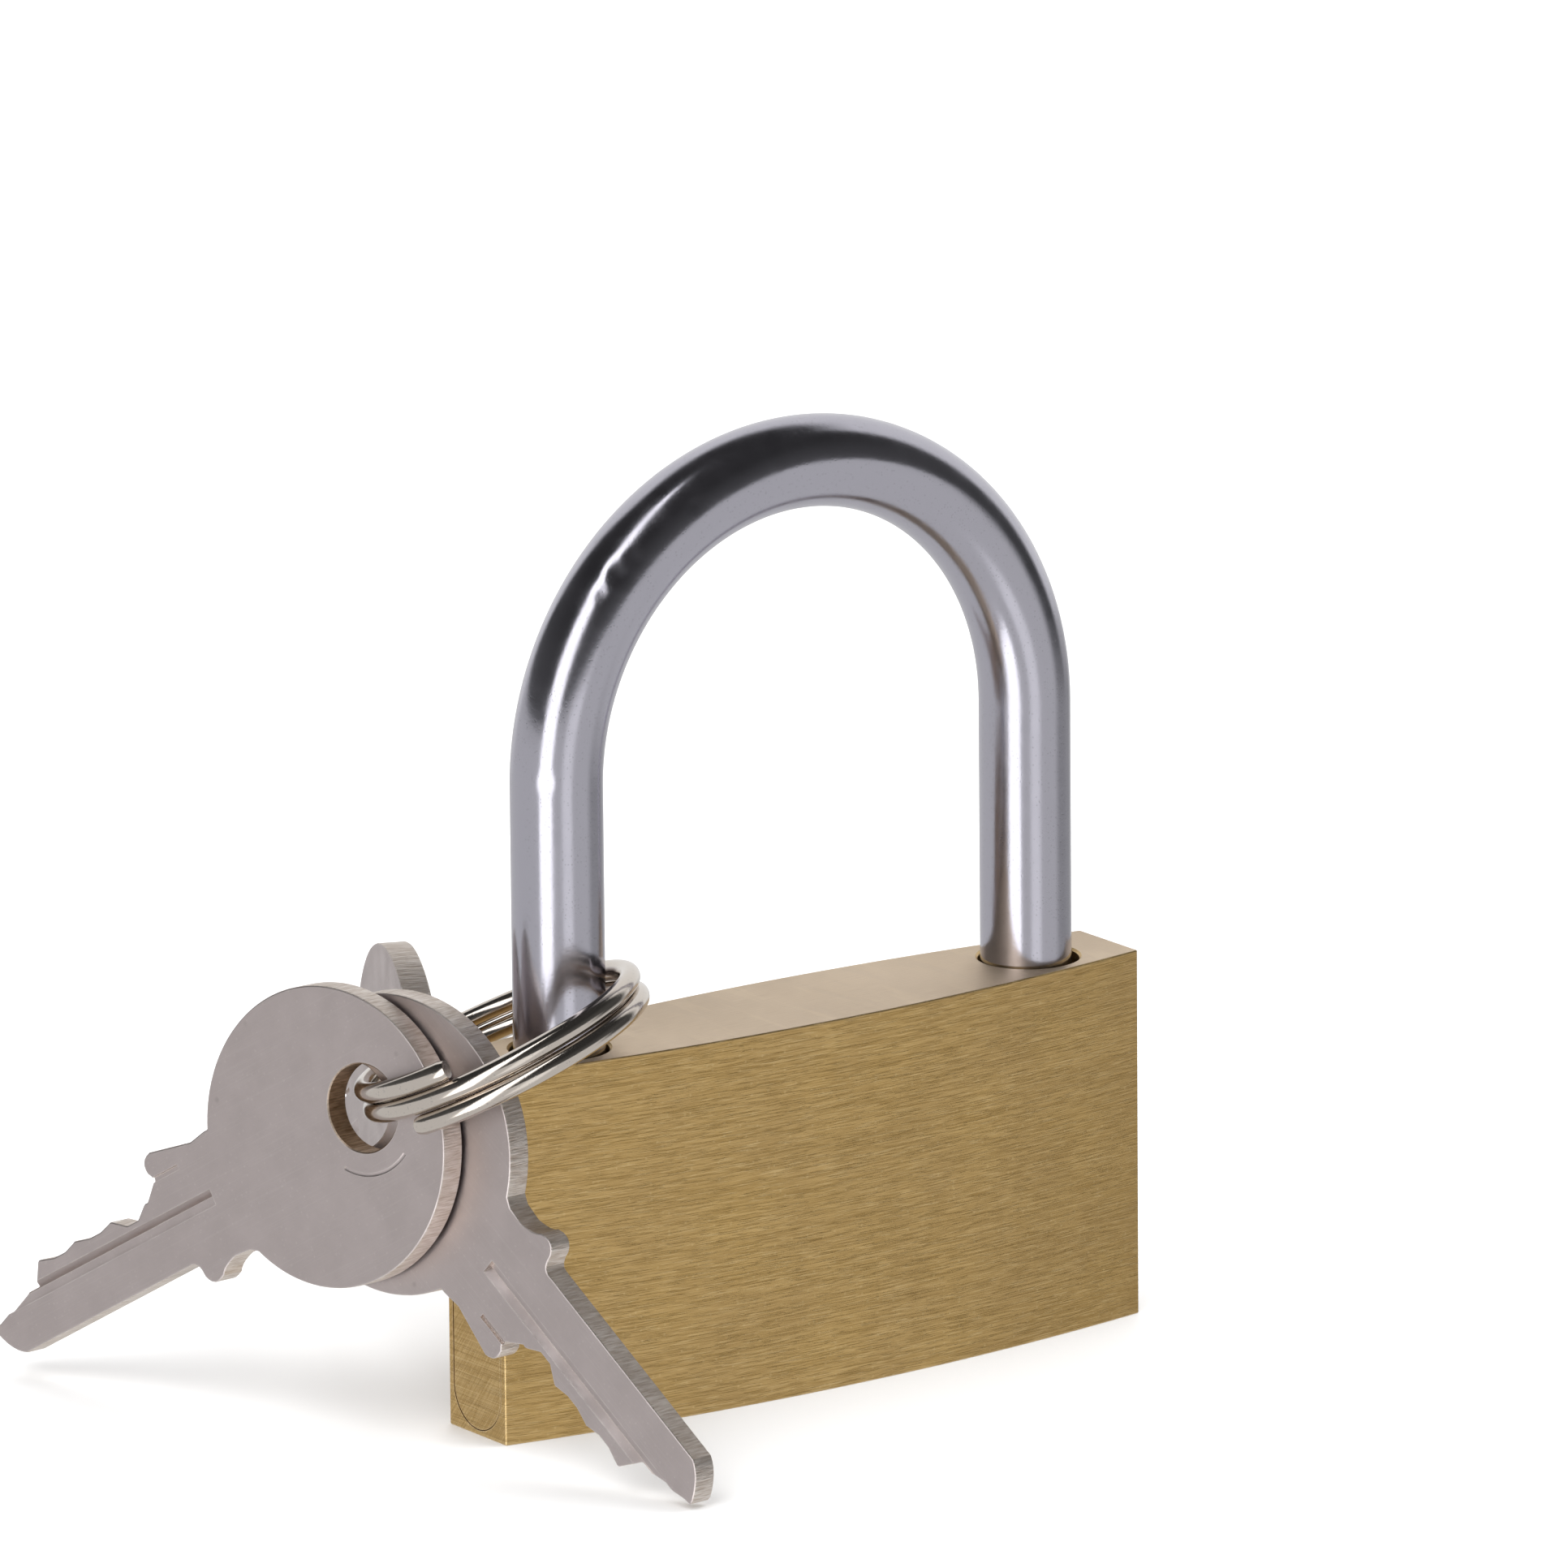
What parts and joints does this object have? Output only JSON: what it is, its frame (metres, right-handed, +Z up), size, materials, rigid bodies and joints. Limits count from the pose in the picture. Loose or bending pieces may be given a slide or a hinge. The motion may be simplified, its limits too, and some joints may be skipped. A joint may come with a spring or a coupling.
{
  "type": "padlock with keys",
  "caption": "Rectangular brass-bodied padlock with a round steel shackle, an inner pin cylinder and latch, and keys on a split ring round the toe leg.",
  "frame": {"origin": "centre of the body's flat top, midway between the shackle's legs", "axes": "+Z up along the shackle's legs, +X along the width towards the heel leg, -Y the front"},
  "size_m": [0.0799, 0.0716, 0.0754],
  "materials": {
    "satin_brass": "satin, fine horizontal brushing",
    "cover_brass": "ground flush",
    "plug_brass": "machined",
    "pin_brass": "ground flush",
    "chromed_steel": "polished chrome",
    "spring_steel": "bright drawn wire",
    "latch_steel": "plain turned steel",
    "key_nickel": "satin nickel plate",
    "ring_nickel": "polished nickel"
  },
  "bodies": {
    "case": {"body": "satin_brass", "chamber_cover": "cover_brass", "heel_retaining_pin": "pin_brass", "plug_retaining_pin": "spring_steel", "shackle_spring": "spring_steel", "latch_spring": "spring_steel", "pin_spring_1": "spring_steel", "pin_spring_2": "spring_steel", "pin_spring_3": "spring_steel", "pin_spring_4": "spring_steel"},
    "shackle": {"shackle": "chromed_steel"},
    "plug": {"plug": "plug_brass", "cam_pin": "spring_steel"},
    "latch": {"latch_bolt": "latch_steel"},
    "ring": {"split_ring": "ring_nickel"},
    "front_key": {"key_front": "key_nickel"},
    "middle_key": {"key_middle": "key_nickel"},
    "back_key": {"key_back": "key_nickel"},
    "key_pin_1": {"key_pin_1": "plug_brass"},
    "driver_pin_1": {"driver_pin_1": "latch_steel"},
    "key_pin_2": {"key_pin_2": "plug_brass"},
    "driver_pin_2": {"driver_pin_2": "latch_steel"},
    "key_pin_3": {"key_pin_3": "plug_brass"},
    "driver_pin_3": {"driver_pin_3": "latch_steel"},
    "key_pin_4": {"key_pin_4": "plug_brass"},
    "driver_pin_4": {"driver_pin_4": "latch_steel"}
  },
  "joints": [
    {"name": "shackle_lift", "type": "slide", "parent": "case", "child": "shackle", "axis": [0, 0, 1], "range_m": [0, 0.013], "deforming": ["shackle_spring"]},
    {"name": "plug_turn", "type": "hinge", "parent": "case", "child": "plug", "pos_m": [0, 0, -0.02], "axis": [0, 0, 1], "range_deg": [0, 90]},
    {"name": "latch_slide", "type": "slide", "parent": "case", "child": "latch", "axis": [-1, 0, 0], "range_m": [0, 0.00311]},
    {"name": "key_pin_1_slide", "type": "slide", "parent": "plug", "child": "key_pin_1", "axis": [0, -1, 0], "range_m": [0, 0.0015]},
    {"name": "driver_pin_1_slide", "type": "slide", "parent": "case", "child": "driver_pin_1", "axis": [-1, 0, 0], "range_m": [0, 0.0014], "stiffness_N_per_m": 120, "springref_m": -0.003},
    {"name": "key_pin_2_slide", "type": "slide", "parent": "plug", "child": "key_pin_2", "axis": [0, -1, 0], "range_m": [0, 0.0015]},
    {"name": "driver_pin_2_slide", "type": "slide", "parent": "case", "child": "driver_pin_2", "axis": [-1, 0, 0], "range_m": [0, 0.0014], "stiffness_N_per_m": 120, "springref_m": -0.003},
    {"name": "key_pin_3_slide", "type": "slide", "parent": "plug", "child": "key_pin_3", "axis": [0, -1, 0], "range_m": [0, 0.0015]},
    {"name": "driver_pin_3_slide", "type": "slide", "parent": "case", "child": "driver_pin_3", "axis": [-1, 0, 0], "range_m": [0, 0.0014], "stiffness_N_per_m": 120, "springref_m": -0.003},
    {"name": "key_pin_4_slide", "type": "slide", "parent": "plug", "child": "key_pin_4", "axis": [0, -1, 0], "range_m": [0, 0.0015]},
    {"name": "driver_pin_4_slide", "type": "slide", "parent": "case", "child": "driver_pin_4", "axis": [-1, 0, 0], "range_m": [0, 0.0014], "stiffness_N_per_m": 120, "springref_m": -0.003},
    {"name": "ring_swivel", "type": "hinge", "parent": "case", "child": "ring", "pos_m": [-0.022, 0, 0.003], "axis": [0, 0, 1], "range_deg": [-15, 40]},
    {"name": "front_key_swing", "type": "hinge", "parent": "ring", "child": "front_key", "pos_m": [-0.03682, 0.0035, -0.0031], "axis": [0.9541, 0.288, -0.082], "range_deg": [-15, 40]},
    {"name": "middle_key_swing", "type": "hinge", "parent": "ring", "child": "middle_key", "pos_m": [-0.03487, 0.00625, -0.00338], "axis": [0.9601, 0.27, -0.073], "range_deg": [-25, 35]},
    {"name": "back_key_swing", "type": "hinge", "parent": "ring", "child": "back_key", "pos_m": [-0.02896, 0.00967, -0.00259], "axis": [0.9238, -0.3829, 0], "range_deg": [-8, 40]}
  ],
  "couplings": [
    {"joint": "plug_turn", "follows": "latch_slide", "rad_per_m": 505.08}
  ]
}
